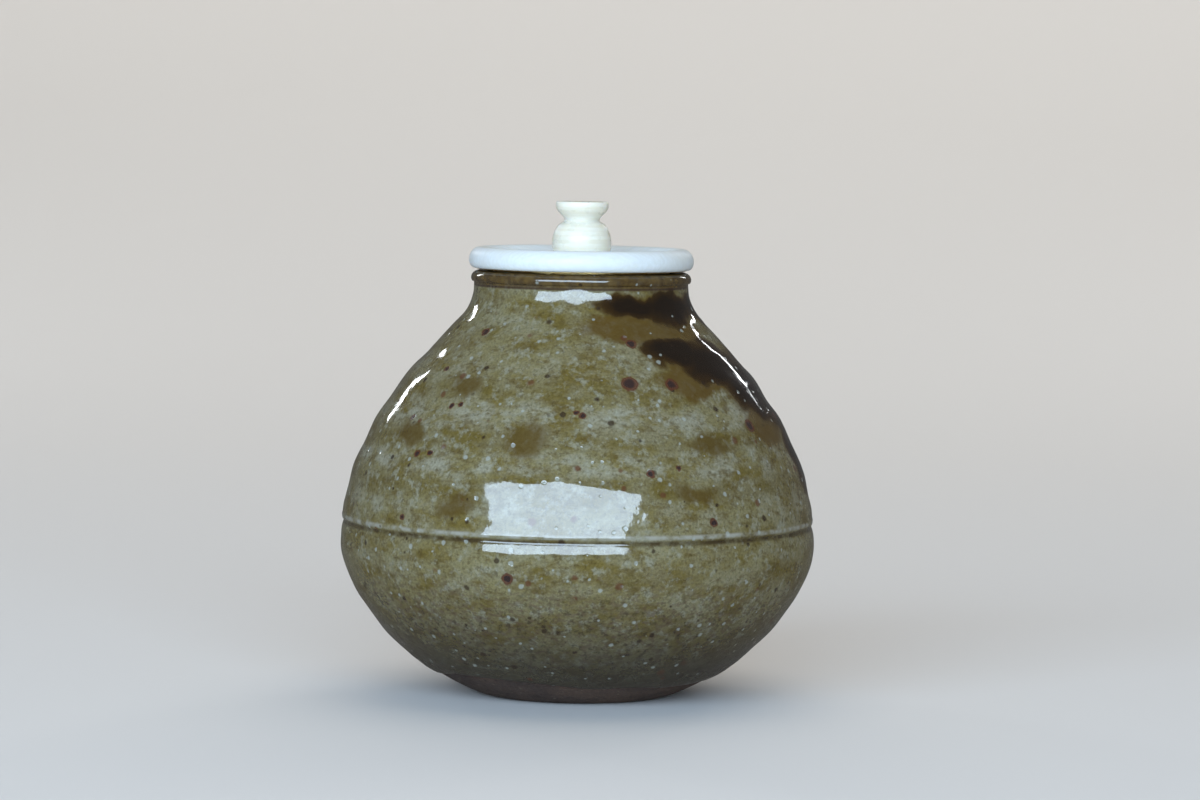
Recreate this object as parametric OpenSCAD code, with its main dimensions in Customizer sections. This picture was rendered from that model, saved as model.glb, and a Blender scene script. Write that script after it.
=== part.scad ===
// A small thrown tea jar with a low belly, a narrow neck and a rolled lip.
// Its glaze is a coat over the clay that stops short of the bare foot.
// The turned lid has a dished top, a plug that drops into the mouth, a knob
// pegged into its middle and a gilded paper lining under it.
// Millimetres, +Z up, origin at the middle of the foot's flat underside.

/* [Jar outline] */
// Height of the clay from the foot to the top of the lip
jar_h = 61.95; // [56:0.05:72]
// Widest radius of the clay, at the belly
belly_r = 34.6; // [31:0.1:40]
// Height of the widest point
belly_z = 22.2; // [19:0.1:28]
// Radius of the bare clay inside the mouth
mouth_r = 13.75; // [11.5:0.05:16]
// Radius of the flat face that the jar stands on
foot_flat_r = 12.9; // [11:0.1:14]
// Radius at which the worn edge round that face meets the wall
foot_r = 15.6; // [14:0.05:18]
// Height of that worn edge
foot_edge = 0.66; // [0.4:0.02:1]
// Angle at which the wall leaves the foot, from level
foot_lean = 23.4; // [18:0.1:30]
// Drop from the neck to the place where the shoulder turns hollow
shoulder_drop = 9.2; // [7.5:0.1:11]
// How far that place lies outside the neck
shoulder_spread = 6.3; // [5:0.1:8]
// Lean of the shoulder at that place, from upright
shoulder_lean = 42; // [36:0.5:48]

/* [Clay walls] */
// Thickness of the floor
floor_t = 3.6; // [3:0.1:5]
// Thickness of the wall at the belly
belly_wall = 2.9; // [2.2:0.1:4]
// Thickness of the wall where the shoulder turns hollow
shoulder_wall = 2.3; // [1.8:0.1:3]
// Thickness of the wall at the narrowest part of the neck
neck_wall = 1.65; // [1.3:0.05:2.4]

/* [Lip] */
// Drop from the top of the lip to the narrowest part of the neck
neck_drop = 2.05; // [1.8:0.05:3]
// How far the lip stands out past the neck
lip_flare = 0.45; // [0.25:0.05:0.8]
// Height of the rounded crown of the lip above its widest line
lip_crown = 0.75; // [0.5:0.05:0.9]
// Height of the crease under the lip, above the neck's narrowest part
crease_rise = 0.7; // [0.5:0.05:0.8]

/* [Throwing marks] */
// Height of the line cut round the belly
groove_z = 25.3; // [24:0.1:30]
// Width of that line
groove_w = 0.9; // [0.6:0.05:1.2]
// Depth of that line
groove_depth = 0.35; // [0.2:0.05:0.5]
// Width of the slope by which the wall comes out again below the line
groove_fall = 1.75; // [1.2:0.05:2.4]
// Width of the ridge that the tool raised above the line
ridge_w = 0.7; // [0.4:0.05:1]
// Height of that ridge
ridge_h = 0.08; // [0.04:0.01:0.15]
// Rise from one finger ring to the next
ring_pitch = 6.6; // [5:0.1:9]
// Depth of the finger rings outside
ring_depth = 0.1; // [0.06:0.01:0.2]
// Depth of the finger rings inside
inner_ring_depth = 0.2; // [0.1:0.01:0.3]

/* [Glaze] */
// Thickness of the glaze
glaze_t = 0.35; // [0.2:0.01:0.5]
// Height of the glaze line above the foot
glaze_line = 3.2; // [2:0.1:5]
// Height over which the glaze swells to its full thickness
glaze_roll = 1.2; // [0.8:0.1:2]
// How far the glaze runs down inside the mouth
glaze_inside = 8; // [6:0.1:12]
// Thickness of the glaze's blunt edge
glaze_edge = 0.08; // [0.05:0.01:0.12]

/* [Lid plate] */
// Thickness of the plate at its rim
lid_t = 3.05; // [2.6:0.05:4]
// How far the lid stands out past the glazed lip
lid_overhang = 0.34; // [0.1:0.02:1]
// Width of the raised rim, from its outside to the middle of its inner slope
rim_w = 2.84; // [2.5:0.02:4]
// Depth of the dished top below the rim
dish_depth = 1.17; // [0.8:0.01:1.5]
// Length of the plug below the plate
plug_t = 2; // [1.5:0.05:3]
// Gap between the plug and the glazed mouth, all round
plug_gap = 0.4; // [0.3:0.02:0.7]
// Gap between the lining and the top of the glazed lip
seat_gap = 0.2; // [0.1:0.01:0.4]

/* [Gilded lining] */
// Thickness of the gilded paper
lining_t = 0.12; // [0.08:0.01:0.2]
// How far the lining stops short of the lid's edge
lining_margin = 1.14; // [0.9:0.02:2]

/* [Lid knob] */
// Radius of the knob's ball
ball_r = 4.35; // [3.8:0.05:5.5]
// Height of the ball's middle above the dished top
ball_lift = 1.9; // [1.4:0.05:2.6]
// Radius of the knob's waist
waist_r = 2.56; // [2:0.02:3]
// Rise from the ball's shoulder to the waist
waist_rise = 0.75; // [0.5:0.05:1.2]
// Radius of the disc on top
disc_r = 3.87; // [3.3:0.02:5]
// Rise from the waist to the widest line of the disc
disc_rise = 1.9; // [1.5:0.05:3]
// Height of the disc's rim above its widest line
disc_t = 0.77; // [0.5:0.01:1.2]
// Radius of the peg that holds the knob in the plate
peg_r = 1.6; // [1.2:0.05:2]
// Gap round the peg
peg_gap = 0.05; // [0.03:0.01:0.1]
// Thickness of the plate and plug left under the peg's hole
peg_floor = 1.2; // [0.8:0.1:1.6]

/* [Hidden] */
$fn = 120;

// Fullness of the curves that join the measured places of the wall
low_swell = 0.685;
belly_round = 0.208;
high_swell = 0.435;
shoulder_ease = 0.282;
hollow_ease = 0.104;
neck_ease = 0.445;
// Angle on the rounded lip at which its outside meets the crease
lip_start = -25;
// Part of the relief that still shows through the glaze
show_through = 0.85;
// Height over which the finger rings fade in and out
ring_fade = 3;
// Height of the upright part inside the mouth, below the neck's narrowest part
bore_drop = 1;

neck_z = jar_h - neck_drop;
neck_r = mouth_r + neck_wall;
lip_r = neck_r + lip_flare;
lip_mid_r = (lip_r + mouth_r) / 2;
lip_half = (lip_r - mouth_r) / 2;
lip_wide_z = jar_h - lip_crown;
crease_z = neck_z + crease_rise;
groove_reach = groove_w / 2 + ridge_w;
rings_from = groove_z + groove_reach;
rings_to = neck_z - ring_fade / 2;

lining_z = jar_h + glaze_t + seat_gap;
seat_z = lining_z + lining_t;
lid_top_z = seat_z + lid_t;
dish_z = lid_top_z - dish_depth;
plug_z = seat_z - plug_t;
lid_r = lip_r + glaze_t + lid_overhang;
plug_r = mouth_r - glaze_t - plug_gap - lining_t;
lining_r = lid_r - lining_margin;
// Rounded edge of the plug, and how far the dished top takes to level out
plug_round = 0.4;
dish_ease = 1.3;
// Reach inwards of the plate's lower and upper rounded edges
edge_in_low = 0.75;
edge_in_high = 1.6;
// Height of the plate's widest line, as a share of its thickness
edge_share = 0.4;
edge_z = seat_z + edge_share * lid_t;
// Lean of the rim's inner slope, each way from its middle
slope_lean = 0.2;

// Angle on the ball at which it turns into the waist
ball_end = 38;
// How soon the waist opens into the disc, and how upright the disc's edge is
flare_start = 0.27;
flare_end = 0.38;
disc_round = 0.3;
ball_z = dish_z + ball_lift;
waist_z = ball_z + ball_r * sin(ball_end) + waist_rise;
disc_z = waist_z + disc_rise;
knob_top_z = disc_z + disc_t;
peg_len = lid_t - dish_depth + plug_t - peg_floor - peg_gap;

// A cubic curve through four control points, and the direction that it runs
function bezier(p, t) = let(u = 1 - t)
    u * u * u * p[0] + 3 * u * u * t * p[1] + 3 * u * t * t * p[2] + t * t * t * p[3];
function bezier_run(p, t) = let(u = 1 - t)
    u * u * (p[1] - p[0]) + 2 * u * t * (p[2] - p[1]) + t * t * (p[3] - p[2]);

// Points on an ellipse's arc
function arc(mid, across, up, from, to, steps) =
    [for (k = [0:steps]) let(a = from + (to - from) * k / steps)
        mid + [across * cos(a), up * sin(a)]];

// A wall's outline in three curves: foot to belly, belly to shoulder, shoulder to neck
function wall_curves(start, belly, shoulder, neck) = let(
    out = [cos(foot_lean), sin(foot_lean)],
    back = [-sin(shoulder_lean), cos(shoulder_lean)],
    sweep = low_swell * (belly[0] - start[0]) / cos(foot_lean),
    rise = belly[1] - start[1],
    climb = shoulder[1] - belly[1],
    tuck = neck[1] - shoulder[1])
    [[start, start + sweep * out, belly - [0, belly_round * rise], belly],
     [belly, belly + [0, high_swell * climb], shoulder - shoulder_ease * climb * back, shoulder],
     [shoulder, shoulder + hollow_ease * tuck * back, neck - [0, neck_ease * tuck], neck]];

// A place on an outline as [point, normal], counted from 0 to 3 along its curves
function place(curves, u) = let(
    i = min(floor(u), 2),
    run = bezier_run(curves[i], u - i))
    [bezier(curves[i], u - i), [run[1], -run[0]] / norm(run)];

// Where along an outline a height lies, found by halving
function count_at(curves, z, low = 0, high = 3, tries = 24) = let(mid = (low + high) / 2)
    tries == 0 ? mid :
    place(curves, mid)[0][1] < z ? count_at(curves, z, mid, high, tries - 1) :
    count_at(curves, z, low, mid, tries - 1);

// Even steps from one count up to, and not including, another
function steps_to(from, to, steps) = [for (k = [0:steps - 1]) from + (to - from) * k / steps];

// The finger rings, which fade out towards both ends of the wall
function fade(z) = max(0, min(1, (z - rings_from) / ring_fade, (rings_to - z) / ring_fade));
function rings(z) = fade(z) * sin(360 * (z - groove_z) / ring_pitch);

// The cut line, its ridge above and its slope below, as height above the smooth wall
function groove(z) = let(d = z - groove_z, past = d - groove_w / 2, out = min(1, -d / groove_fall))
    d < 0 ? -groove_depth * pow(1 - out, 2) :
    past < 0 ? -groove_depth * (1 + cos(360 * d / groove_w)) / 2 :
    past < ridge_w ? ridge_h * (1 - cos(360 * past / ridge_w)) / 2 : 0;
function relief(z) = groove(z) + ring_depth * rings(z);

// The share of its full thickness that the glaze has at a distance from its edge
function swell(distance) = let(x = max(0, min(1, distance / glaze_roll)))
    (glaze_edge + (glaze_t - glaze_edge) * sqrt(1 - (1 - x) * (1 - x))) / glaze_t;

shoulder_at = [neck_r + shoulder_spread, neck_z - shoulder_drop];
shoulder_out = [cos(shoulder_lean), sin(shoulder_lean)];
outer = wall_curves([foot_r, foot_edge], [belly_r, belly_z], shoulder_at, [neck_r, neck_z]);
// The inside starts where the floor, square to the wall's lean, is as thick as the floor
inner = wall_curves(
    [foot_r - (floor_t - foot_edge) * tan(foot_lean) / 2, floor_t],
    [belly_r - belly_wall, belly_z],
    shoulder_at - shoulder_wall * shoulder_out,
    [mouth_r, neck_z - bore_drop]);

// Counts along the outside, closer together at the glaze line and the groove
glaze_from = count_at(outer, glaze_line);
glaze_full = count_at(outer, glaze_line + glaze_roll);
groove_from = count_at(outer, groove_z - groove_fall);
groove_to = count_at(outer, groove_z + groove_reach);
bare_counts = steps_to(0, glaze_from, 4);
coated_counts = concat(
    steps_to(glaze_from, glaze_full, 4),
    steps_to(glaze_full, groove_from, 14),
    steps_to(groove_from, groove_to, 14),
    steps_to(groove_to, 2, 24),
    steps_to(2, 3, 14), [3]);

// Counts down the inside, from the mouth to the floor
inside_depth = jar_h - glaze_inside;
coat_end = count_at(inner, inside_depth);
coat_thin = count_at(inner, inside_depth + glaze_roll);
lining_counts = concat(steps_to(3, coat_thin, 8), steps_to(coat_thin, coat_end, 4), [coat_end]);
inside_counts = concat(steps_to(coat_end, 1, 24), steps_to(1, 0, 12));

// Each place of the skin as [clay point, normal, share of the full glaze, relief]
function outside_skin(counts) = [for (u = counts) let(p = place(outer, u), z = p[0][1])
    [p[0], p[1], swell(z - glaze_line), relief(z)]];
function inside_skin(counts) = [for (u = counts) let(p = place(inner, u), z = p[0][1])
    [p[0], -p[1], swell(z - inside_depth), inner_ring_depth * rings(z)]];
lip_steps = 14;
lip_skin = concat([[[neck_r, crease_z], [1, 0], 1, 0]],
    [for (k = [0:lip_steps]) let(
        a = lip_start + (180 - lip_start) * k / lip_steps,
        n = [cos(a) / lip_half, sin(a) / lip_crown])
        [[lip_mid_r + lip_half * cos(a), lip_wide_z + lip_crown * sin(a)], n / norm(n), 1, 0]]);
coated_skin = concat(outside_skin(coated_counts), lip_skin, inside_skin(lining_counts));

function clay_face(skin) = [for (s = skin) s[0] + s[3] * s[1]];
function glaze_face(skin) = [for (s = skin) s[0] + (glaze_t * s[2] + show_through * s[3]) * s[1]];
function reversed(list) = [for (k = [len(list) - 1:-1:0]) list[k]];

// The thrown clay: a bare foot, the wall under the glaze, and a hollow inside
module clay_body() {
    turn = [foot_r - foot_edge / tan(foot_lean), 0];
    worn = [[foot_flat_r, 0], [foot_flat_r + 2 * turn[0], 0] / 3, [foot_r + 2 * turn[0], foot_edge] / 3,
        [foot_r, foot_edge]];
    foot = [for (k = [0:7]) bezier(worn, k / 7)];
    bare_wall = [for (u = bare_counts) if (u > 0) place(outer, u)[0]];
    color("#4b3a31") rotate_extrude() polygon(concat(
        [[0, 0]], foot, bare_wall,
        clay_face(coated_skin),
        [for (u = inside_counts) if (u < coat_end) clay_face(inside_skin([u]))[0]],
        clay_face(inside_skin([0])),
        [[0, floor_t]]));
}

// The glaze: from the glaze line over the lip and down inside the neck
module glaze_coat() {
    color("#7f6e3c") rotate_extrude() polygon(concat(
        glaze_face(coated_skin), reversed(clay_face(coated_skin))));
}

// The plate: rounded edge, raised rim, dished top, and a plug under it
module lid_plate() {
    rim_mid_r = lid_r - rim_w;
    crest_r = lid_r - edge_in_high;
    dish_r = rim_mid_r - dish_ease;
    slope = [[crest_r, lid_top_z], [rim_mid_r + slope_lean, lid_top_z],
        [rim_mid_r - slope_lean, dish_z], [dish_r, dish_z]];
    color("#dfe4ea") difference() {
        rotate_extrude() polygon(concat(
            [[0, plug_z]],
            arc([plug_r - plug_round, plug_z + plug_round], plug_round, plug_round, -90, 0, 4),
            [[plug_r, seat_z]],
            arc([lid_r - edge_in_low, edge_z], edge_in_low, edge_z - seat_z, -90, 0, 9),
            [for (p = arc([crest_r, edge_z], edge_in_high, lid_top_z - edge_z, 0, 90, 12))
                if (p[1] > edge_z) p],
            [for (k = [1:12]) bezier(slope, k / 12)],
            [[0, dish_z]]));
        translate([0, 0, plug_z + peg_floor]) cylinder(h = lid_t + plug_t, r = peg_r + peg_gap);
    }
}

// The knob: a peg, a ball cut flat where it sits, a waist and a flared disc
module lid_knob() {
    seat_angle = -asin(ball_lift / ball_r);
    ball_top = [ball_r * cos(ball_end), ball_z + ball_r * sin(ball_end)];
    leave = [-sin(ball_end), cos(ball_end)];
    ease = waist_rise / 2;
    neck_in = [ball_top, ball_top + ease * leave, [waist_r, waist_z - ease], [waist_r, waist_z]];
    flare = [[waist_r, waist_z], [waist_r, waist_z + flare_start * disc_rise],
        [disc_r, disc_z - flare_end * disc_rise], [disc_r, disc_z]];
    color("#f0e8d2") rotate_extrude() polygon(concat(
        [[0, dish_z - peg_len], [peg_r, dish_z - peg_len], [peg_r, dish_z]],
        arc([0, ball_z], ball_r, ball_r, seat_angle, ball_end, 16),
        [for (k = [1:6]) bezier(neck_in, k / 6)],
        [for (k = [1:12]) bezier(flare, k / 12)],
        arc([disc_r - disc_round, knob_top_z - disc_round], disc_round, disc_round, 0, 90, 5),
        [[0, knob_top_z]]));
}

// The gilded paper: one sheet over the plug's end and side and the plate's seat
module gilded_lining() {
    turn = [plug_r - plug_round, plug_z + plug_round];
    far = plug_round + lining_t;
    color("#c8a245") rotate_extrude() polygon(concat(
        [[0, plug_z - lining_t]],
        arc(turn, far, far, -90, 0, 4),
        [[plug_r + lining_t, lining_z], [lining_r, lining_z], [lining_r, seat_z], [plug_r, seat_z]],
        arc(turn, plug_round, plug_round, 0, -90, 4),
        [[0, plug_z]]));
}

clay_body();
glaze_coat();
lid_plate();
lid_knob();
gilded_lining();
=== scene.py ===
"""A small thrown tea jar with a mottled glossy glaze, and its turned white lid.

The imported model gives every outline. Each turned piece is made again here from
its own half outline, finely enough to carry the wall's unevenness, the waves in
the melted glaze, the turning marks and the string marks under the foot.
"""
import math

import bmesh
import bpy
from mathutils import Matrix, Vector, noise
from mathutils.bvhtree import BVHTree
from mathutils.kdtree import KDTree


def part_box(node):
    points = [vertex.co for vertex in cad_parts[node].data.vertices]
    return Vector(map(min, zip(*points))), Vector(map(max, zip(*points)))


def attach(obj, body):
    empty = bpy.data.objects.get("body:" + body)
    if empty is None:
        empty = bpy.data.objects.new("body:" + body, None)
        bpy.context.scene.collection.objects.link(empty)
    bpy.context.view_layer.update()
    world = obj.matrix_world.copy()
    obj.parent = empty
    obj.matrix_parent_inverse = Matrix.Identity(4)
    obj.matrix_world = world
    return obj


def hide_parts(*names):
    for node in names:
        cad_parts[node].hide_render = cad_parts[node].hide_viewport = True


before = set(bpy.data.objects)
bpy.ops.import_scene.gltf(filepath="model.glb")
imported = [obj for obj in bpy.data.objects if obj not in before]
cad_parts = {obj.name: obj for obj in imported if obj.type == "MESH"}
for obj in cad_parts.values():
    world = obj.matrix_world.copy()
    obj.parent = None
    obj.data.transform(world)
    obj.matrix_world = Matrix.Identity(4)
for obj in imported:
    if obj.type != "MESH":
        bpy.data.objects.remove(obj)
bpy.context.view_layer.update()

MM = 0.001
TAU = 2 * math.pi

# Camera, fitted to the photograph
LENS_MM = 134.6
SENSOR_MM = 36.0
EYE_BACK = 660.0 * MM
EYE_UP = 85.8 * MM
AIM_SIDE = 3.05 * MM
AIM_UP = 43.3 * MM
ROLL = math.radians(0.9)

# Mesh making
WELD = 0.002 * MM
SHARP = math.radians(50)

# Heights on the jar in millimetres, as the materials use them
GLAZE_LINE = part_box("glaze_coat")[0].z / MM
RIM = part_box("glaze_coat")[1].z / MM
GROOVE = 25.3
RING_PITCH = 6.8
PALE_RING = 42.6

# Unevenness of the thrown wall and of the glaze that melted over it
WALL_SWAY = 0.16 * MM
GLAZE_WAVE = 0.16 * MM
GLAZE_RIPPLE = 0.03 * MM
EDGE_SWAY = 0.5 * MM
POUR_DEPTH = 0.10 * MM
BLOOM_DENT = 0.05 * MM

# The string marks under the foot
STRING_DEPTH = 0.11 * MM
STRING_PITCH = 1.15 * MM
STRING_MIDDLE = Vector((2.6 * MM, -1.8 * MM, 0.0))

# Where the glaze line runs highest: degrees round from the front, spread in degrees, and rise
LINE_CREST = -42
LINE_SPREAD = 24
LINE_RISE = 1.0 * MM

# Iron blooms in the glaze: degrees round from the front, height and width in mm
BLOOMS = [
    (16.6, 47.2, 2.2), (21.4, 52.6, 1.5), (31.3, 47.0, 1.8), (56.9, 41.0, 1.8), (1.4, 42.8, 1.0),
    (-0.6, 43.2, 0.8), (18.7, 35.0, 1.1), (-45.4, 53.8, 1.2), (-52.6, 48.4, 0.8), (-37.7, 43.8, 0.8),
    (-40.8, 43.5, 0.8), (-55.0, 41.5, 0.8), (-16.0, 20.1, 1.5), (34.3, 28.0, 1.1), (-46.5, 36.6, 1.0),
    (-41.9, 36.9, 0.8), (26.6, 35.6, 0.8), (-46.2, 27.7, 0.8), (104.0, 33.0, 1.8), (139.0, 45.0, 1.5),
    (171.0, 38.0, 1.2), (-150.0, 30.0, 1.9), (-118.0, 44.0, 1.2), (-95.0, 36.0, 1.4),
]
# The dark pour from the neck: degrees, height, half width and half height in mm
POUR = [
    (28, 57.8, 6.5, 2.6), (55, 57.5, 8.5, 3.0), (90, 57.5, 10.0, 3.4), (40, 51.3, 6.0, 2.8),
    (55, 49.6, 8.5, 5.0), (70, 46.5, 9.5, 7.0), (90, 45.0, 12.0, 10.5), (84, 36.0, 6.0, 9.0),
    (118, 51.0, 12.0, 7.0), (150, 57.5, 12.0, 3.2),
]
# Amber runs round the pour, and brown stains elsewhere, in the same measures
AMBER = [(24, 54.6, 9.0, 2.6), (44, 54.0, 9.0, 3.0), (44, 47.6, 9.0, 3.2), (66, 40.5, 6.0, 3.5)]
STAINS = [
    (-14, 39.6, 4.8, 3.4), (-38, 46.0, 4.6, 2.2), (30, 32.0, 4.6, 2.0), (-52, 39.0, 4.2, 2.4),
    (38, 38.6, 7.0, 1.8), (-30, 30.0, 5.0, 2.0), (-160, 43.0, 9.0, 4.0),
]


# Camera, floor and light


def make_camera():
    """The photograph's view: level with the lid, far back, rolled a little."""
    data = bpy.data.cameras.new("camera")
    data.lens = LENS_MM
    data.sensor_width = SENSOR_MM
    data.clip_start = 0.05
    data.clip_end = 20.0
    camera = bpy.data.objects.new("camera", data)
    bpy.context.scene.collection.objects.link(camera)
    eye = Vector((AIM_SIDE, -EYE_BACK, EYE_UP))
    aim = Vector((AIM_SIDE, 0.0, AIM_UP))
    turn = (aim - eye).to_track_quat("-Z", "Y").to_matrix().to_4x4()
    camera.matrix_world = Matrix.Translation(eye) @ turn @ Matrix.Rotation(ROLL, 4, "Z")
    bpy.context.scene.camera = camera


def make_floor(material):
    """A plain floor that sweeps up slowly into a round backdrop on every side."""
    flat, bend, steps = 0.5, 2.6, 24
    outline = [(0.0, 0.0), (flat, 0.0)]
    for step in range(1, steps + 1):
        a = step / steps * math.pi / 2
        outline.append((flat + bend * math.sin(a), bend * (1 - math.cos(a))))
    shape = bmesh.new()
    spin_outline(shape, outline, 96)
    floor = finished("floor", shape, material)
    floor.visible_glossy = False


def soft_light(name, azimuth, elevation, distance, size, power, tint, glossy=True):
    """A rectangle of light facing the jar; azimuth 0 is the camera's side, plus is to its right."""
    data = bpy.data.lights.new(name, "AREA")
    data.shape = "RECTANGLE"
    data.size, data.size_y = size
    data.energy = power
    data.color = tint
    lamp = bpy.data.objects.new(name, data)
    lamp.visible_camera = False
    lamp.visible_glossy = glossy
    bpy.context.scene.collection.objects.link(lamp)
    a, e = math.radians(azimuth), math.radians(elevation)
    out = Vector((math.sin(a) * math.cos(e), -math.cos(a) * math.cos(e), math.sin(e)))
    target = Vector((0.0, 0.0, 30.0 * MM))
    turn = (-out).to_track_quat("-Z", "Y").to_matrix().to_4x4()
    lamp.matrix_world = Matrix.Translation(target + out * distance) @ turn


def make_studio():
    """A wide cool window of light in front, two slim glints behind, and warm soft fill all round."""
    cool, warm, clear = (0.62, 0.80, 1.0), (1.0, 0.94, 0.85), (0.92, 0.96, 1.0)
    soft_light("window", -10, 19, 1.2, (1.75, 0.62), 27.0, cool)
    soft_light("glint_left", -144, 20, 1.0, (0.07, 0.20), 0.55, clear)
    soft_light("glint_right", 150, 22, 1.0, (0.04, 0.24), 0.35, clear)
    soft_light("above", 150, 80, 2.3, (2.6, 2.6), 22.0, warm, glossy=False)
    soft_light("behind", 172, 32, 1.7, (1.8, 0.8), 9.0, warm, glossy=False)
    world = bpy.data.worlds.new("surround")
    world.use_nodes = True
    background = world.node_tree.nodes["Background"]
    background.inputs["Color"].default_value = (0.50, 0.50, 0.50, 1.0)
    background.inputs["Strength"].default_value = 0.20
    bpy.context.scene.world = world
    bpy.context.scene.view_settings.view_transform = "Standard"


# Outlines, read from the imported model


def half_outline(node):
    """A turned node's outline as (radius, height) points, and whether it closes on itself."""
    cut = bmesh.new()
    cut.from_mesh(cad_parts[node].data)
    bmesh.ops.remove_doubles(cut, verts=cut.verts, dist=WELD)
    everything = cut.verts[:] + cut.edges[:] + cut.faces[:]
    bmesh.ops.bisect_plane(
        cut, geom=everything, dist=WELD, plane_co=(0, 0, 0), plane_no=(0, 1, 0),
        clear_inner=True, clear_outer=True)
    bmesh.ops.remove_doubles(cut, verts=cut.verts, dist=WELD)
    behind = [v for v in cut.verts if v.co.x < -WELD]
    bmesh.ops.delete(cut, geom=behind, context="VERTS")
    ends = [v for v in cut.verts if len(v.link_edges) == 1]
    start = min(ends or cut.verts, key=lambda v: (v.co.z, v.co.x))
    path, last, here = [], None, start
    while here is not None and (here is not start or not path):
        path.append(Vector((max(0.0, here.co.x), here.co.z)))
        beyond = [e.other_vert(here) for e in here.link_edges]
        beyond = [v for v in beyond if v is not last]
        last, here = here, (beyond[0] if beyond else None)
    cut.free()
    if ends:
        path = [Vector((0.0, path[0].y))] + path + [Vector((0.0, path[-1].y))]
    return without_straights(path), not ends


def without_straights(path):
    """The path without the points that lie on a straight line between their neighbours."""
    kept = [path[0]]
    for here, beyond in zip(path[1:], path[2:]):
        run, step = beyond - kept[-1], here - kept[-1]
        off = abs(run.x * step.y - run.y * step.x) / max(run.length, WELD)
        if step.length > WELD and off > 0.1 * WELD:
            kept.append(here)
    return kept + [path[-1]]


def turning(before, here, after):
    """The angle that a path turns through at a point."""
    a, b = here - before, after - here
    return a.angle(b) if a.length > 0 and b.length > 0 else 0.0


def tangent(before, here, after):
    """The direction of a smooth path at a point: a long straight side's own, or between the two."""
    a, b = here - before, after - here
    if a.length > 3 * b.length:
        return a.normalized()
    if b.length > 3 * a.length:
        return b.normalized()
    return (a / a.length ** 2 + b / b.length ** 2).normalized()


def eased(path, closed, step_at):
    """The path with smooth points added between its own, and with its true corners kept."""
    count = len(path)
    smooth = []
    for i in range(count if closed else count - 1):
        a, b = path[i], path[(i + 1) % count]
        before = path[i - 1] if closed or i > 0 else a
        after = path[(i + 2) % count] if closed or i + 2 < count else b
        if turning(before, a, b) > SHARP:
            before = a
        if turning(a, b, after) > SHARP:
            after = b
        span = (b - a).length
        lead, trail = tangent(before, a, b) * span, tangent(a, b, after) * span
        parts = max(1, math.ceil(span / step_at((a + b) / 2)))
        for k in range(parts):
            t = k / parts
            smooth.append(
                a * (2 * t ** 3 - 3 * t ** 2 + 1) + lead * (t ** 3 - 2 * t ** 2 + t)
                + b * (3 * t ** 2 - 2 * t ** 3) + trail * (t ** 3 - t ** 2))
    return smooth + ([] if closed else [path[-1]])


# Turned meshes


def spin_outline(shape, outline, slices, closed=False):
    """Turns an outline once round the jar's axis into a skin."""
    points = [shape.verts.new((r, 0.0, z)) for r, z in outline]
    pairs = list(zip(points, points[1:]))
    if closed:
        pairs.append((points[-1], points[0]))
    lines = [shape.edges.new(pair) for pair in pairs]
    bmesh.ops.spin(
        shape, geom=points + lines, cent=(0, 0, 0), axis=(0, 0, 1), dvec=(0, 0, 0),
        angle=TAU, steps=slices, use_merge=True, use_duplicate=False)
    bmesh.ops.remove_doubles(shape, verts=shape.verts, dist=WELD)
    bmesh.ops.recalc_face_normals(shape, faces=shape.faces)


def finished(name, shape, material):
    """The mesh as an object in the scene, smooth but for its true corners."""
    mesh = bpy.data.meshes.new(name)
    for face in shape.faces:
        face.smooth = True
    shape.to_mesh(mesh)
    shape.free()
    mesh.set_sharp_from_angle(angle=SHARP)
    mesh.materials.append(material)
    piece = bpy.data.objects.new(name, mesh)
    bpy.context.scene.collection.objects.link(piece)
    return piece


def turned_piece(node, body, material, slices, step_at, shape_it=None):
    """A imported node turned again, finer, and then given its unevenness by shape_it."""
    path, closed = half_outline(node)
    shape = bmesh.new()
    spin_outline(shape, eased(path, closed, step_at), slices, closed)
    if shape_it:
        shape.normal_update()
        shape_it(shape)
    piece = finished(node + "_turned", shape, material)
    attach(piece, body)
    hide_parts(node)


def ease(value, start, end):
    """0 before start, 1 after end, and smooth between; start may be the larger."""
    t = min(1.0, max(0.0, (value - start) / (end - start)))
    return t * t * (3 - 2 * t)


def rough(point, size, seed):
    """Smooth noise between -1 and 1 with features of about the given size."""
    return noise.noise(point / size + Vector((seed, 0.37 * seed, -0.61 * seed)))


def outward(point):
    """The level direction away from the jar's axis."""
    flat = Vector((point.x, point.y, 0.0))
    return flat.normalized() if flat.length > WELD else Vector((0, 0, 0))


def on_wall(degrees, height):
    """A place on the outside of the glaze, in mm, from degrees round from the front and a height in mm."""
    z = height * MM
    reach = [
        a.x + (b.x - a.x) * (z - a.y) / (b.y - a.y)
        for a, b in zip(glaze_path, glaze_path[1:]) if a.y != b.y and (a.y - z) * (b.y - z) <= 0]
    turn = math.radians(degrees)
    return Vector((math.sin(turn), -math.cos(turn), 0)) * (max(reach) / MM) + Vector((0, 0, height))


def wall_sway(point):
    """How far the thrown wall stands off a true circle, fading out at the foot and the lip."""
    here = Vector((point.x, point.y, point.z * 1.6))
    fade = ease(point.z, 4 * MM, 14 * MM) * ease(point.z, 60 * MM, 50 * MM)
    return WALL_SWAY * fade * (rough(here, 26 * MM, 3.1) + 0.5 * rough(here, 11 * MM, 7.7))


def string_mark(point):
    """The curved grooves left by the string that cut the jar off the wheel, from 0 to 1."""
    arm = point - STRING_MIDDLE
    reach = math.hypot(arm.x, arm.y) + 0.6 * MM * rough(point, 9 * MM, 1.9)
    swirl = math.atan2(arm.y, arm.x) / TAU
    wave = 0.5 - 0.5 * math.cos(TAU * (reach / STRING_PITCH - swirl))
    return wave * (0.7 + 0.3 * rough(point, 3 * MM, 5.3))


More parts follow.
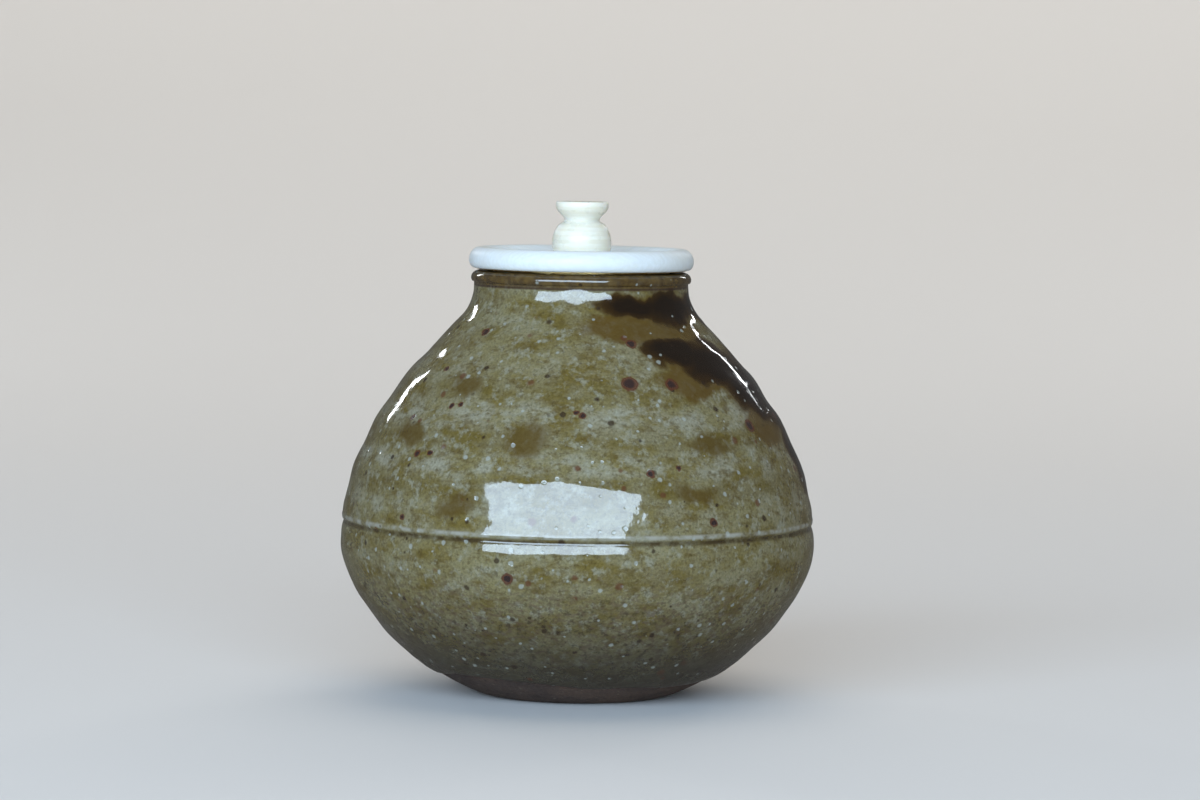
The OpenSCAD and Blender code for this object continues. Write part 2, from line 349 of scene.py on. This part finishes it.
def shape_clay(shape):
    """Sways the wall and cuts the string marks into the underside of the foot."""
    flat = max(math.hypot(v.co.x, v.co.y) for v in shape.verts if v.co.z < 0.01 * MM)
    for v in shape.verts:
        place = v.co.copy()
        v.co += outward(place) * wall_sway(place)
        if place.z < 0.01 * MM:
            inside = ease(math.hypot(place.x, place.y), flat, flat - 1.2 * MM)
            v.co.z += STRING_DEPTH * string_mark(place) * inside


def poured(point, pour):
    """How deep the dark pour is at a place in mm, from 0 at its edge to 1."""
    depth = 0.0
    for middle, wide, tall in pour:
        apart = point - middle
        depth = max(depth, 1 - math.hypot(apart.x / wide, apart.y / wide, apart.z / tall))
    return depth


def line_rise(point):
    """How far the glaze line runs above its mean height at a place, by its angle round the jar."""
    away = math.degrees(math.atan2(point.x, -point.y)) - LINE_CREST
    return LINE_RISE * math.exp(-(away / LINE_SPREAD) ** 2)


def shape_glaze(shape):
    """Follows the wall, then waves where it melted, thickens in the pour and wavers at its edges."""
    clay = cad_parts["clay_body"].data
    clay_skin = BVHTree.FromPolygons([v.co for v in clay.vertices], [p.vertices for p in clay.polygons])
    inner_edge = min(p.y for p in glaze_path if p.y > 0.75 * RIM * MM and p.x < 15 * MM)
    pour = [(on_wall(degrees, height), wide, tall) for degrees, height, wide, tall in POUR]
    moves = []
    for v in shape.verts:
        place, normal = v.co.copy(), v.normal.copy()
        move = outward(place) * wall_sway(place)
        away = clay_skin.find_nearest(place)
        free = ease(away[3], 0.06 * MM, 0.25 * MM)
        if free > 0:
            stretched = Vector((place.x, place.y, 1.4 * place.z))
            wave = GLAZE_WAVE * rough(stretched, 5.5 * MM, 2.2) + GLAZE_RIPPLE * rough(place, 2.1 * MM, 9.4)
            calm = ease(place.z, 62 * MM, 59 * MM)
            thicker = POUR_DEPTH * ease(poured(place / MM, pour), 0.0, 0.4)
            move += normal * free * calm * (wave + thicker)
        inside = place.z > 0.7 * RIM * MM and math.hypot(place.x, place.y) < 15 * MM
        edge, fade = (inner_edge, 3 * MM) if inside else (GLAZE_LINE * MM, 6 * MM)
        pull = ease(place.z, edge + fade, edge)
        if pull > 0:
            slope = away[1].cross(outward(place).cross(Vector((0, 0, 1)))).normalized()
            rise = EDGE_SWAY * rough(outward(place) * 20 * MM, 6 * MM, 4.4)
            rise += 0 if inside else line_rise(place)
            move += slope * (pull * rise / slope.z)
        moves.append(move)
    for v, move in zip(shape.verts, moves):
        v.co += move
    dent_blooms(shape)


def dent_blooms(shape):
    """Presses the larger iron blooms a little into the glaze."""
    tree = KDTree(len(shape.verts))
    shape.verts.ensure_lookup_table()
    for v in shape.verts:
        tree.insert(v.co, v.index)
    tree.balance()
    for degrees, height, width in BLOOMS:
        middle = on_wall(degrees, height) * MM
        reach = 0.9 * width * MM
        for place, index, away in tree.find_range(middle, reach):
            v = shape.verts[index]
            if v.normal.dot(outward(place)) > 0:
                v.co -= v.normal * BLOOM_DENT * ease(away, reach, 0.2 * reach)


# Material nodes


class Wiring:
    """Adds nodes to one material or group, and joins them."""

    def __init__(self, tree):
        self.tree = tree

    def feed(self, socket, value):
        """Joins a socket to another node's output, or sets its own value."""
        if isinstance(value, bpy.types.NodeSocket):
            self.tree.links.new(value, socket)
        else:
            socket.default_value = value

    def node(self, kind, inputs=None, **settings):
        """A new node with its settings, and its inputs joined or set."""
        made = self.tree.nodes.new(kind)
        for name, value in settings.items():
            setattr(made, name, value)
        for key, value in (inputs or {}).items():
            self.feed(made.inputs[key], value)
        return made

    def math(self, operation, *values, clamp=False):
        """A sum on numbers."""
        made = self.node(
            "ShaderNodeMath", dict(enumerate(values)), operation=operation, use_clamp=clamp)
        return made.outputs[0]

    def times(self, *values):
        """The product of several numbers."""
        product = values[0]
        for value in values[1:]:
            product = self.math("MULTIPLY", product, value)
        return product

    def most(self, values):
        """The largest of several numbers."""
        largest = values[0]
        for value in values[1:]:
            largest = self.math("MAXIMUM", largest, value)
        return largest

    def vector(self, operation, *values):
        """A sum on vectors that gives a vector."""
        return self.node("ShaderNodeVectorMath", dict(enumerate(values)), operation=operation).outputs[0]

    def scaled(self, vector, factor):
        """A vector made longer or shorter."""
        return self.node("ShaderNodeVectorMath", {0: vector, "Scale": factor}, operation="SCALE").outputs[0]

    def length(self, vector):
        """The length of a vector."""
        return self.node("ShaderNodeVectorMath", {0: vector}, operation="LENGTH").outputs["Value"]

    def split(self, vector):
        """The three parts of a vector."""
        return self.node("ShaderNodeSeparateXYZ", {0: vector}).outputs

    def span(self, value, start, end, low=0.0, high=1.0):
        """A smooth step from low to high as value goes from start to end."""
        made = self.node(
            "ShaderNodeMapRange",
            {"Value": value, "From Min": start, "From Max": end, "To Min": low, "To Max": high},
            interpolation_type="SMOOTHSTEP")
        return made.outputs["Result"]

    def near(self, value, centre, reach):
        """1 at a centre value and 0 beyond a reach on either side."""
        away = self.math("ABSOLUTE", self.math("SUBTRACT", value, centre))
        return self.span(away, reach, 0.15 * reach)

    def mix(self, share, a, b):
        """Colour a turning into colour b as share goes from 0 to 1."""
        return self.node("ShaderNodeMix", {0: share, 6: a, 7: b}, data_type="RGBA").outputs[2]

    def shade(self, colour, level):
        """A colour made darker or lighter by a number that varies over the surface."""
        grey = self.node("ShaderNodeCombineColor", {0: level, 1: level, 2: level}).outputs[0]
        return self.node(
            "ShaderNodeMix", {0: 1.0, 6: colour, 7: grey}, data_type="RGBA", blend_type="MULTIPLY").outputs[2]

    def noise(self, place, size, detail=2.0, roughness=0.5):
        """Noise from 0 to 1 with features of about the given size in millimetres."""
        made = self.node(
            "ShaderNodeTexNoise",
            {"Vector": place, "Scale": 1.0 / size, "Detail": detail, "Roughness": roughness})
        return made.outputs["Fac"]

    def drift(self, place, size, reach, detail=1.0):
        """A place pushed about by noise, to break up whatever is drawn from it."""
        made = self.node("ShaderNodeTexNoise", {"Vector": place, "Scale": 1.0 / size, "Detail": detail})
        push = self.vector("SUBTRACT", made.outputs["Color"], (0.5, 0.5, 0.5))
        return self.vector("ADD", place, self.scaled(push, 2 * reach))

    def group(self, group, output, **inputs):
        """A shared effect, placed with its own values."""
        made = self.node("ShaderNodeGroup", node_tree=group)
        for name, value in inputs.items():
            self.feed(made.inputs[name], value)
        return made.outputs[output]


def linear(red, green, blue):
    """A colour as the shader takes it."""
    return (red, green, blue, 1.0)


def new_group(name, inputs, outputs):
    """An empty node group with named sockets: its tree, wiring, inputs and outputs."""
    tree = bpy.data.node_groups.new(name, "ShaderNodeTree")
    for label, kind in inputs:
        tree.interface.new_socket(label, in_out="INPUT", socket_type="NodeSocket" + kind)
    for label, kind in outputs:
        tree.interface.new_socket(label, in_out="OUTPUT", socket_type="NodeSocket" + kind)
    w = Wiring(tree)
    return tree, w, w.node("NodeGroupInput").outputs, w.node("NodeGroupOutput").inputs


def make_specks_group():
    """Scattered spots: a share of the cells of a given spacing hold a spot of about a given width."""
    tree, w, given, result = new_group(
        "specks",
        [("Place", "Vector"), ("Spacing", "Float"), ("Width", "Float"), ("Share", "Float")],
        [("Mask", "Float")])
    place = w.drift(given["Place"], 0.7, 0.16)
    cells = w.node(
        "ShaderNodeTexVoronoi", {"Vector": place, "Scale": w.math("DIVIDE", 1.0, given["Spacing"])})
    away = w.math("MULTIPLY", cells.outputs["Distance"], given["Spacing"])
    picks = w.node("ShaderNodeSeparateColor", {0: cells.outputs["Color"]}).outputs
    half = w.times(given["Width"], w.math("MULTIPLY_ADD", picks[1], 0.5, 0.3))
    inside = w.span(w.math("DIVIDE", away, half), 1.0, 0.5)
    w.feed(result["Mask"], w.times(inside, w.math("LESS_THAN", picks[0], given["Share"])))
    return tree


def make_stain_group():
    """A soft stain: 1 at its centre and 0 at its reach, which differs sideways and upwards."""
    tree, w, given, result = new_group(
        "stain",
        [("Place", "Vector"), ("Centre", "Vector"), ("Reach", "Vector")],
        [("Depth", "Float")])
    apart = w.vector("DIVIDE", w.vector("SUBTRACT", given["Place"], given["Centre"]), given["Reach"])
    w.feed(result["Depth"], w.math("SUBTRACT", 1.0, w.length(apart), clamp=True))
    return tree


def make_turning_group():
    """Fine rings left by a turning tool: a height from 0 to 1 that repeats along a given measure."""
    tree, w, given, result = new_group(
        "turning_rings",
        [("Place", "Vector"), ("Along", "Float"), ("Pitch", "Float")],
        [("Height", "Float")])
    uneven = w.noise(given["Place"], 5.0)
    wander = w.times(w.math("SUBTRACT", uneven, 0.5), 0.5)
    turns = w.math("DIVIDE", w.math("ADD", given["Along"], wander), given["Pitch"])
    wave = w.math("MULTIPLY_ADD", w.math("COSINE", w.times(turns, TAU)), 0.5, 0.5)
    single = w.node("ShaderNodeTexNoise", {"W": turns, "Scale": 0.37, "Detail": 2.0}, noise_dimensions="1D")
    w.feed(result["Height"], w.times(wave, single.outputs["Fac"]))
    return tree


def place_in_mm(w):
    """The place on the piece in millimetres."""
    return w.scaled(w.node("ShaderNodeTexCoord").outputs["Object"], 1.0 / MM)


def new_finish(name):
    """A new material with its wiring and its one shader."""
    material = bpy.data.materials.new(name)
    material.use_nodes = True
    return material, Wiring(material.node_tree), material.node_tree.nodes["Principled BSDF"]


def set_finish(w, shader, colour, roughness, height=None, depth=0.0):
    """Feeds the shader's colour and roughness, and its relief from a height of 0 to 1."""
    w.feed(shader.inputs["Base Color"], colour)
    w.feed(shader.inputs["Roughness"], roughness)
    if height is not None:
        relief = w.node("ShaderNodeBump", {"Height": height, "Distance": depth, "Strength": 1.0})
        w.feed(shader.inputs["Normal"], relief.outputs["Normal"])


# The glaze


def glaze_ground(w, place, z):
    """Khaki with olive clouds, and paler grey green clouds gathered along the throwing rings."""
    wide = w.vector("MULTIPLY", place, (1.0, 1.0, 1.9))
    olive = w.span(w.noise(wide, 7.0, 3.0, 0.55), 0.38, 0.62)
    colour = w.mix(olive, linear(0.165, 0.142, 0.068), linear(0.118, 0.088, 0.022))
    wavy = w.math("ADD", z, w.times(w.math("SUBTRACT", w.noise(place, 14.0), 0.5), 3.0))
    turns = w.math("DIVIDE", w.math("SUBTRACT", wavy, PALE_RING), RING_PITCH)
    ring = w.math("MULTIPLY_ADD", w.math("COSINE", w.times(turns, TAU)), 0.5, 0.5)
    ringed = w.times(w.span(z, 27.0, 32.0), w.span(z, 51.0, 45.0))
    dusk = w.times(w.math("POWER", w.math("SUBTRACT", 1.0, ring), 1.5), ringed)
    colour = w.mix(w.times(dusk, 0.60), colour, linear(0.098, 0.072, 0.016))
    cloud = w.span(w.noise(w.vector("ADD", wide, (50, 0, 0)), 4.5, 4.0, 0.62), 0.38, 0.64)
    spread = w.math("MULTIPLY_ADD", w.times(w.math("POWER", ring, 1.6), ringed), 0.70, 0.30)
    colour = w.mix(w.times(cloud, spread), colour, linear(0.225, 0.215, 0.155))
    brown = w.span(w.noise(w.vector("ADD", wide, (0, 50, 0)), 2.4, 3.0, 0.60), 0.50, 0.68)
    colour = w.mix(w.times(brown, 0.62), colour, linear(0.078, 0.052, 0.012))
    sponge = w.span(w.noise(w.vector("ADD", place, (0, 0, 50)), 1.5, 3.0, 0.65), 0.50, 0.70)
    colour = w.mix(w.times(sponge, 0.62), colour, linear(0.235, 0.232, 0.175))
    crumbs = w.span(w.noise(place, 0.65, 2.0, 0.6), 0.54, 0.68)
    colour = w.mix(w.times(crumbs, 0.45), colour, linear(0.060, 0.040, 0.012))
    return w.shade(colour, w.span(w.noise(place, 0.38, 2.0, 0.6), 0.30, 0.70, 0.84, 1.16))


def stains_at(w, stain, place, marks):
    """The deepest of several stains at a place."""
    depths = [
        w.group(stain, "Depth", Place=place, Centre=on_wall(degrees, height), Reach=(wide, wide, tall))
        for degrees, height, wide, tall in marks]
    return w.most(depths)


def thinned_with_painted_shade(w, colour, place, z):
    """The lower belly, where the glaze thins, browns and shows fine specks of the clay, and grows darker towards
    the foot: partly the glaze's own tone, partly painted shade.
    """
    lower = w.span(z, 23.0, 13.0)
    pepper = w.span(w.noise(w.vector("MULTIPLY", place, (1.0, 1.0, 1.8)), 0.95, 3.0, 0.6), 0.48, 0.62)
    colour = w.mix(w.times(lower, pepper, 0.60), colour, linear(0.092, 0.058, 0.040))
    dots = w.span(w.noise(w.vector("ADD", place, (20, 0, 9)), 0.8, 3.0, 0.6), 0.54, 0.64)
    colour = w.mix(w.times(lower, dots, 0.55), colour, linear(0.034, 0.026, 0.014))
    # Darker towards the foot: partly the glaze's own darker tone, partly painted shade where the belly turns
    # down and away from the light.
    low = w.math("ADD", z, w.times(w.math("SUBTRACT", w.noise(place, 3.0, 3.0), 0.5), 3.0))
    return w.mix(w.span(low, 19.0, GLAZE_LINE, 0.0, 0.82), colour, linear(0.030, 0.025, 0.019))


def darkened(w, stain, colour, place):
    """Brown stains, and the dark pour over the neck and one shoulder with its amber fringe."""
    loose = w.drift(w.drift(place, 4.5, 2.0), 1.1, 0.45)
    stained = w.span(stains_at(w, stain, loose, STAINS), 0.0, 0.60)
    colour = w.mix(w.times(stained, 0.80), colour, linear(0.072, 0.044, 0.008))
    pour = stains_at(w, stain, loose, POUR)
    amber = w.most([pour, stains_at(w, stain, loose, AMBER)])
    colour = w.mix(w.times(w.span(amber, 0.0, 0.30), 0.85), colour, linear(0.078, 0.043, 0.006))
    colour = w.mix(w.span(pour, 0.08, 0.32), colour, linear(0.026, 0.012, 0.002))
    return w.mix(w.span(pour, 0.25, 0.60), colour, linear(0.010, 0.005, 0.002))


def lip_and_line(w, colour, place, z):
    """The thin browned glaze on the lip, and the cut line with its pale upper edge."""
    lip = w.span(z, RIM - 2.3, RIM - 1.8)
    lip_tone = w.mix(w.span(w.noise(place, 1.2, 3.0), 0.35, 0.65), linear(0.092, 0.052, 0.014), linear(0.045, 0.022, 0.008))
    colour = w.mix(w.times(lip, 0.85), colour, lip_tone)
    colour = w.mix(w.times(w.near(z, RIM - 2.15, 0.30), 0.8), colour, linear(0.034, 0.014, 0.009))
    patchy = w.span(w.noise(place, 2.0, 3.0), 0.35, 0.60, 0.15, 1.0)
    colour = w.mix(w.times(w.near(z, GROOVE + 0.80, 0.50), patchy), colour, linear(0.270, 0.262, 0.215))
    worn = w.span(w.noise(place, 1.7, 3.0), 0.30, 0.65, 0.45, 0.95)
    return w.mix(w.times(w.near(z, GROOVE - 0.05, 0.55), worn), colour, linear(0.040, 0.025, 0.009))


def glaze_finish(specks, stain):
    """The glossy olive glaze with its pour, stains, specks, blooms and pinholes."""
    material, w, shader = new_finish("olive_glaze")
    place = place_in_mm(w)
    z = w.split(place)[2]
    colour = thinned_with_painted_shade(w, glaze_ground(w, place, z), place, z)
    colour = darkened(w, stain, colour, place)
    colour = lip_and_line(w, colour, place, z)

    pits = w.group(specks, "Mask", Place=place, Spacing=1.6, Width=0.62, Share=0.42)
    colour = w.mix(w.times(pits, 0.65), colour, linear(0.300, 0.320, 0.285))
    elsewhere = w.vector("ADD", place, (31, 17, 5))
    dark = w.group(specks, "Mask", Place=elsewhere, Spacing=2.2, Width=0.85, Share=0.26)
    colour = w.mix(w.times(dark, 0.80), colour, linear(0.024, 0.013, 0.007))
    elsewhere = w.vector("ADD", place, (7, 43, 21))
    rusty = w.group(specks, "Mask", Place=elsewhere, Spacing=3.2, Width=1.1, Share=0.28)
    colour = w.mix(w.times(rusty, 0.70), colour, linear(0.085, 0.026, 0.012))
    ragged = w.drift(place, 0.8, 0.34, 2.0)
    blooms = stains_at(w, stain, ragged, [(a, h, 0.65 * s, 0.65 * s) for a, h, s in BLOOMS])
    colour = w.mix(w.times(w.span(blooms, 0.0, 0.22), 0.9), colour, linear(0.075, 0.023, 0.011))
    colour = w.mix(w.times(w.span(blooms, 0.32, 0.60), 0.85), colour, linear(0.020, 0.012, 0.012))

    low = w.span(z, 12.0, GLAZE_LINE, 0.0, 0.22)
    dull = w.math("ADD", low, w.times(w.span(blooms, 0.0, 0.3), 0.2))
    roughness = w.math("ADD", w.span(w.noise(place, 3.0), 0.3, 0.7, 0.04, 0.09), dull)
    height = w.math("SUBTRACT", w.times(w.noise(place, 1.5, 2.0), 0.45), w.times(pits, 0.55))
    set_finish(w, shader, colour, roughness, height, 0.045 * MM)
    shader.inputs["IOR"].default_value = 1.72
    return material


# The other finishes


def clay_finish(specks):
    """Bare fired clay: dark and gritty, with pale grains and fine turning lines."""
    material, w, shader = new_finish("bare_clay")
    place = place_in_mm(w)
    flashed = w.span(w.noise(place, 6.0, 3.0), 0.35, 0.65)
    colour = w.mix(flashed, linear(0.070, 0.046, 0.036), linear(0.105, 0.064, 0.044))
    grit = w.group(specks, "Mask", Place=place, Spacing=1.0, Width=0.45, Share=0.40)
    colour = w.mix(w.times(grit, 0.6), colour, linear(0.200, 0.150, 0.110))
    iron = w.group(specks, "Mask", Place=w.vector("ADD", place, (13, 29, 3)), Spacing=1.6, Width=0.5, Share=0.30)
    colour = w.mix(w.times(iron, 0.8), colour, linear(0.018, 0.011, 0.009))
    colour = w.shade(colour, w.span(w.noise(place, 0.3, 2.0), 0.3, 0.7, 0.75, 1.25))
    lines = w.noise(w.vector("MULTIPLY", place, (0.08, 0.08, 3.0)), 1.0, 2.0)
    grain = w.math("MULTIPLY_ADD", w.noise(place, 0.22, 3.0, 0.7), 0.5, w.times(lines, 0.3))
    height = w.math("MULTIPLY_ADD", grit, 0.2, grain)
    set_finish(w, shader, colour, w.span(w.noise(place, 1.0), 0.3, 0.7, 0.74, 0.92), height, 0.10 * MM)
    return material


def lid_finish(turning):
    """Cool ivory white with a satin surface, a faint grain, fine turning rings and painted shade in the dish's
    inner corner.
    """
    material, w, shader = new_finish("cool_ivory")
    place = place_in_mm(w)
    x, y, z = w.split(place)
    radius = w.length(w.vector("MULTIPLY", place, (1, 1, 0)))
    grain = w.noise(w.vector("MULTIPLY", place, (0.25, 2.5, 1.2)), 1.0, 3.0, 0.6)
    colour = w.mix(w.span(grain, 0.3, 0.7), linear(0.66, 0.70, 0.71), linear(0.61, 0.64, 0.63))
    cloudy = w.span(w.noise(place, 7.0), 0.4, 0.7)
    colour = w.mix(w.times(cloudy, 0.3), colour, linear(0.64, 0.63, 0.57))
    # Painted shade in the inner corner of the dish, darker and warmer than the ivory.
    painted_corner_shade = w.times(w.near(radius, 4.4, 0.9), w.span(z, 65.3, 64.6))
    colour = w.mix(w.times(painted_corner_shade, 0.45), colour, linear(0.36, 0.32, 0.25))
    rings = w.group(turning, "Height", Place=place, Along=w.math("ADD", radius, z), Pitch=0.36)
    roughness = w.span(w.noise(place, 1.8), 0.3, 0.7, 0.36, 0.46)
    set_finish(w, shader, colour, roughness, rings, 0.003 * MM)
    shader.inputs["Subsurface Weight"].default_value = 0.25
    shader.inputs["Subsurface Radius"].default_value = (1.0, 0.8, 0.6)
    shader.inputs["Subsurface Scale"].default_value = 0.8 * MM
    return material


def knob_finish(turning):
    """Creamy ivory, polished and a little translucent, with faint level grain lines."""
    material, w, shader = new_finish("cream_ivory")
    place = place_in_mm(w)
    z = w.split(place)[2]
    lines = w.noise(w.vector("MULTIPLY", place, (0.12, 0.12, 2.6)), 1.0, 3.0, 0.6)
    colour = w.mix(w.span(lines, 0.3, 0.7), linear(0.76, 0.74, 0.64), linear(0.70, 0.66, 0.53))
    rings = w.group(turning, "Height", Place=place, Along=z, Pitch=0.30)
    roughness = w.span(w.noise(place, 1.4), 0.3, 0.7, 0.26, 0.36)
    set_finish(w, shader, colour, roughness, rings, 0.002 * MM)
    shader.inputs["Subsurface Weight"].default_value = 0.4
    shader.inputs["Subsurface Radius"].default_value = (1.0, 0.8, 0.5)
    shader.inputs["Subsurface Scale"].default_value = 1.2 * MM
    return material


def gilt_finish(specks):
    """Metal leaf on paper: small wrinkles, lapped leaf seams and spots worn through to the paper."""
    material, w, shader = new_finish("gilt_paper")
    place = place_in_mm(w)
    loose = w.drift(place, 3.0, 0.35, 2.0)
    x, y, z = w.split(loose)
    tone = w.span(w.noise(place, 3.5, 3.0), 0.35, 0.65)
    colour = w.mix(tone, linear(0.80, 0.55, 0.20), linear(0.88, 0.68, 0.32))
    seams = w.most([w.near(w.math("PINGPONG", w.math("ADD", along, 40.0), 5.5), 5.5, 0.22) for along in (x, y)])
    colour = w.mix(w.times(seams, 0.6), colour, linear(0.60, 0.34, 0.10))
    worn = w.group(specks, "Mask", Place=place, Spacing=2.2, Width=0.8, Share=0.18)
    colour = w.mix(worn, colour, linear(0.50, 0.36, 0.20))
    creases = w.math("ABSOLUTE", w.math("SUBTRACT", w.noise(place, 2.4, 3.0, 0.6), 0.5))
    height = w.math("ADD", w.math("MINIMUM", w.times(creases, 4.0), 1.0), w.times(seams, 0.3))
    set_finish(w, shader, colour, w.span(tone, 0.0, 1.0, 0.28, 0.42), height, 0.05 * MM)
    w.feed(shader.inputs["Metallic"], w.math("SUBTRACT", 1.0, worn))
    return material


def floor_finish():
    """Plain pale paper."""
    material, w, shader = new_finish("pale_floor")
    shader.inputs["Base Color"].default_value = linear(0.66, 0.65, 0.64)
    shader.inputs["Roughness"].default_value = 0.9
    return material


# The build

glaze_path = half_outline("glaze_coat")[0]
specks_group = make_specks_group()
stain_group = make_stain_group()
turning_group = make_turning_group()

make_camera()
make_studio()
make_floor(floor_finish())


def clay_step(point):
    """Fine steps on the underside of the foot and moderate ones elsewhere."""
    return (0.22 if point.y < 0.05 * MM else 0.7) * MM


def glaze_step(point):
    """Fine steps along the glaze."""
    return 0.42 * MM


def lid_step(point):
    """Fine steps round the lid's pieces."""
    return 0.25 * MM


turned_piece("clay_body", "jar", clay_finish(specks_group), 192, clay_step, shape_clay)
turned_piece("glaze_coat", "jar", glaze_finish(specks_group, stain_group), 256, glaze_step, shape_glaze)
turned_piece("lid_plate", "lid", lid_finish(turning_group), 192, lid_step)
turned_piece("lid_knob", "lid", knob_finish(turning_group), 128, lid_step)
turned_piece("gilded_lining", "lid", gilt_finish(specks_group), 160, lid_step)
